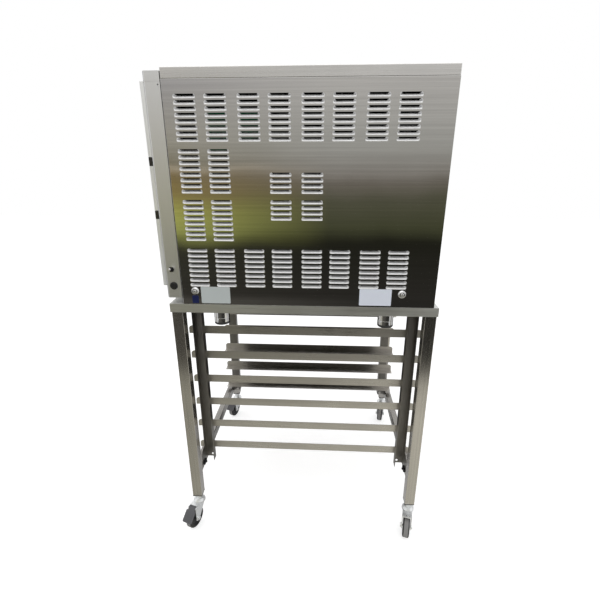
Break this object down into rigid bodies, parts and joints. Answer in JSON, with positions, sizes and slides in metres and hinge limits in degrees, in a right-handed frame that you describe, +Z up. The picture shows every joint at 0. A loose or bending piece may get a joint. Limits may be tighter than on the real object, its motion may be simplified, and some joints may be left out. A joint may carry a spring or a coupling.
{
  "type": "convection oven",
  "caption": "Side-hinged convection oven with a louvred stainless casing and knobs beside the door, standing on a wheeled open stand with tray slides.",
  "frame": {"origin": "on the floor, under the middle of the whole object's box", "axes": "+X towards the louvred side, -Y towards the door, +Z up"},
  "size_m": [0.8052, 0.8985, 1.589],
  "materials": {
    "stand_steel": "satin, warm grey",
    "rack_steel": "satin",
    "black_fixing": "black oxide",
    "black_plastic": "matt black",
    "zinc": "bright zinc",
    "casing_steel": "brushed",
    "front_steel": "satin",
    "plate_aluminium": "satin",
    "polished_steel": "polished",
    "liner_steel": "2B mill finish",
    "insulation_wool": "mineral wool",
    "motor_paint": "satin paint",
    "element_sheath": "oxidised sheath",
    "lamp_glass": "clear borosilicate",
    "board_green": "solder mask",
    "cream_plastic": "moulded",
    "door_glass": "tempered",
    "seal_rubber": "silicone",
    "knob_black": "satin black",
    "shelf_chrome": "bright wire",
    "castor_rubber": "grey tread, black sides",
    "pedal_plastic": "dark grey"
  },
  "bodies": {
    "oven_and_stand": {"stand_top_frame": "stand_steel", "stand_legs": "stand_steel", "lower_cross_rails": "stand_steel", "tray_rack_right": "rack_steel", "tray_rack_left": "rack_steel", "rack_fixings": "black_fixing", "leg_plugs": "black_plastic", "castor_stems": "zinc", "base_pan": "casing_steel", "right_side_panel": "casing_steel", "left_side_panel": "casing_steel", "back_panel": "casing_steel", "top_cover": "casing_steel", "front_surround": "front_steel", "control_fascia": "front_steel", "panel_screws": "zinc", "blank_plates": "plate_aluminium", "foot_tubes": "polished_steel", "foot_pads": "black_plastic", "cavity_liner": "liner_steel", "insulation": "insulation_wool", "control_partition": "zinc", "fan_baffle": "liner_steel", "fan_motor": "motor_paint", "heating_element": "element_sheath", "shelf_support_left": "liner_steel", "shelf_support_right": "liner_steel", "oven_lamp": "lamp_glass", "vent_pipe": "liner_steel", "cable_gland": "black_plastic", "control_board": "board_green", "terminal_block": "cream_plastic", "door_hinge_brackets": "zinc", "door_catch": "black_plastic", "switch_bodies": "black_plastic"},
    "door": {"door_frame": "front_steel", "door_inner_frame": "liner_steel", "door_outer_glass": "door_glass", "door_inner_glass": "door_glass", "door_gasket": "seal_rubber", "door_handle": "front_steel"},
    "fan": {"fan_wheel": "liner_steel"},
    "thermostat_knob": {"thermostat_knob": "knob_black"},
    "timer_knob": {"timer_knob": "knob_black"},
    "toggle": {"toggle_lever": "polished_steel"},
    "button": {"side_button": "knob_black"},
    "shelf_1": {"wire_shelf_1": "shelf_chrome"},
    "shelf_2": {"wire_shelf_2": "shelf_chrome"},
    "shelf_3": {"wire_shelf_3": "shelf_chrome"},
    "shelf_4": {"wire_shelf_4": "shelf_chrome"},
    "fork_front_right": {"castor_fork_front_right": "zinc"},
    "wheel_front_right": {"castor_wheel_front_right": "castor_rubber"},
    "fork_front_left": {"castor_fork_front_left": "zinc"},
    "wheel_front_left": {"castor_wheel_front_left": "castor_rubber"},
    "fork_rear_right": {"castor_fork_rear_right": "zinc"},
    "wheel_rear_right": {"castor_wheel_rear_right": "castor_rubber"},
    "fork_rear_left": {"castor_fork_rear_left": "zinc"},
    "wheel_rear_left": {"castor_wheel_rear_left": "castor_rubber"},
    "pedal_front_right": {"brake_pedal_front_right": "pedal_plastic"},
    "pedal_front_left": {"brake_pedal_front_left": "pedal_plastic"}
  },
  "joints": [
    {"name": "door_hinge", "type": "hinge", "parent": "oven_and_stand", "child": "door", "pos_m": [-0.38309, -0.41025, 1.22025], "axis": [0, 0, -1], "range_deg": [0, 130]},
    {"name": "fan_shaft", "type": "hinge", "parent": "oven_and_stand", "child": "fan", "pos_m": [0.15992, 0.01675, 1.214], "axis": [1, 0, 0], "continuous": true},
    {"name": "shelf_1_slide", "type": "slide", "parent": "oven_and_stand", "child": "shelf_1", "axis": [0, -1, 0], "range_m": [0, 0.055]},
    {"name": "shelf_2_slide", "type": "slide", "parent": "oven_and_stand", "child": "shelf_2", "axis": [0, -1, 0], "range_m": [0, 0.055]},
    {"name": "shelf_3_slide", "type": "slide", "parent": "oven_and_stand", "child": "shelf_3", "axis": [0, -1, 0], "range_m": [0, 0.055]},
    {"name": "shelf_4_slide", "type": "slide", "parent": "oven_and_stand", "child": "shelf_4", "axis": [0, -1, 0], "range_m": [0, 0.055]},
    {"name": "thermostat_knob_turn", "type": "hinge", "parent": "oven_and_stand", "child": "thermostat_knob", "pos_m": [0.27192, -0.38425, 1.309], "axis": [0, 1, 0], "range_deg": [0, 270]},
    {"name": "timer_knob_turn", "type": "hinge", "parent": "oven_and_stand", "child": "timer_knob", "pos_m": [0.27192, -0.38425, 1.155], "axis": [0, 1, 0], "range_deg": [0, 270]},
    {"name": "toggle_tilt", "type": "hinge", "parent": "oven_and_stand", "child": "toggle", "pos_m": [0.33821, -0.36325, 1], "axis": [0, 1, 0], "range_deg": [0, 26]},
    {"name": "button_press", "type": "slide", "parent": "oven_and_stand", "child": "button", "axis": [-1, 0, 0], "range_m": [0, 0.003], "stiffness_N_per_m": 600},
    {"name": "swivel_front_right", "type": "hinge", "parent": "oven_and_stand", "child": "fork_front_right", "pos_m": [0.31892, -0.36175, 0.087], "axis": [0, 0, 1], "continuous": true},
    {"name": "roll_front_right", "type": "hinge", "parent": "fork_front_right", "child": "wheel_front_right", "pos_m": [0.35274, -0.37406, 0.038], "axis": [0.342, 0.9397, 0], "continuous": true},
    {"name": "brake_front_right", "type": "hinge", "parent": "fork_front_right", "child": "pedal_front_right", "pos_m": [0.35749, -0.37579, 0.08593], "axis": [-0.342, -0.9397, 0], "range_deg": [0, 18]},
    {"name": "swivel_front_left", "type": "hinge", "parent": "oven_and_stand", "child": "fork_front_left", "pos_m": [-0.37509, -0.36175, 0.087], "axis": [0, 0, 1], "continuous": true},
    {"name": "roll_front_left", "type": "hinge", "parent": "fork_front_left", "child": "wheel_front_left", "pos_m": [-0.34126, -0.37406, 0.038], "axis": [0.342, 0.9397, 0], "continuous": true},
    {"name": "brake_front_left", "type": "hinge", "parent": "fork_front_left", "child": "pedal_front_left", "pos_m": [-0.33651, -0.37579, 0.08593], "axis": [-0.342, -0.9397, 0], "range_deg": [0, 18]},
    {"name": "swivel_rear_right", "type": "hinge", "parent": "oven_and_stand", "child": "fork_rear_right", "pos_m": [0.31892, 0.42725, 0.087], "axis": [0, 0, 1], "continuous": true},
    {"name": "roll_rear_right", "type": "hinge", "parent": "fork_rear_right", "child": "wheel_rear_right", "pos_m": [0.35385, 0.41854, 0.038], "axis": [0.2419, 0.9703, 0], "continuous": true},
    {"name": "swivel_rear_left", "type": "hinge", "parent": "oven_and_stand", "child": "fork_rear_left", "pos_m": [-0.37509, 0.42725, 0.087], "axis": [0, 0, 1], "continuous": true},
    {"name": "roll_rear_left", "type": "hinge", "parent": "fork_rear_left", "child": "wheel_rear_left", "pos_m": [-0.34015, 0.41854, 0.038], "axis": [0.2419, 0.9703, 0], "continuous": true}
  ]
}
